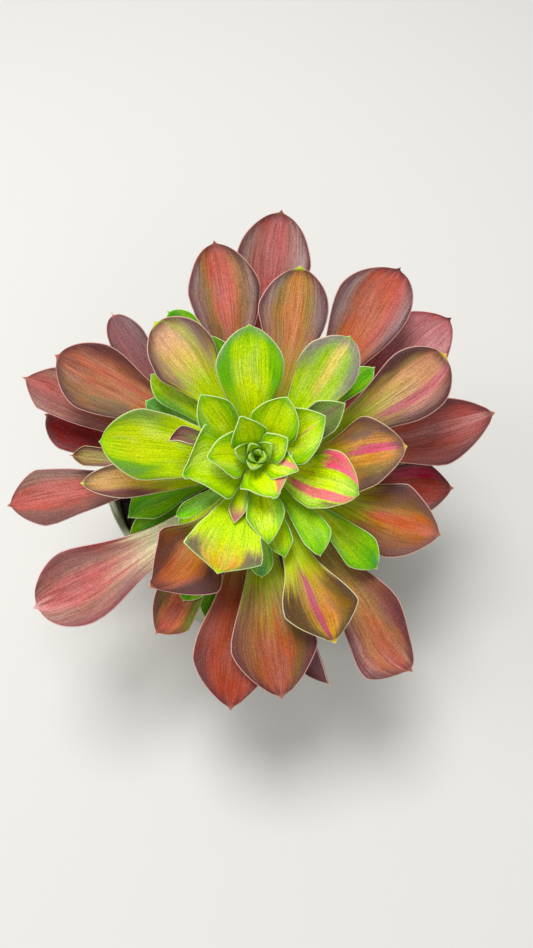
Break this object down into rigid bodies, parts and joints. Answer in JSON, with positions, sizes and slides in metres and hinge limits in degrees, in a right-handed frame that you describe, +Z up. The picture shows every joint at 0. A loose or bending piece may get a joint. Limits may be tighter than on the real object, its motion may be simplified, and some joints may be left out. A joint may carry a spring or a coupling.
{
  "type": "potted aeonium",
  "caption": "Potted tree houseleek: one leaning rosette of spoon-shaped, pointed succulent leaves on a short woody stem in a round, slightly tapered pot of soil.",
  "frame": {"origin": "centre of the pot's flat underside", "axes": "+Z up; -Y to the front, where the rosette leans; +X to the right seen from the front"},
  "size_m": [0.1756, 0.1616, 0.133],
  "materials": {
    "pot_plastic": "satin",
    "potting_soil": "matte",
    "woody_stem": "matte",
    "red_leaf": "satin",
    "green_leaf": "satin"
  },
  "bodies": {
    "root": {"pot": "pot_plastic", "soil": "potting_soil", "stem": "woody_stem", "outer_leaves": "red_leaf", "inner_leaves": "green_leaf"}
  },
  "joints": []
}
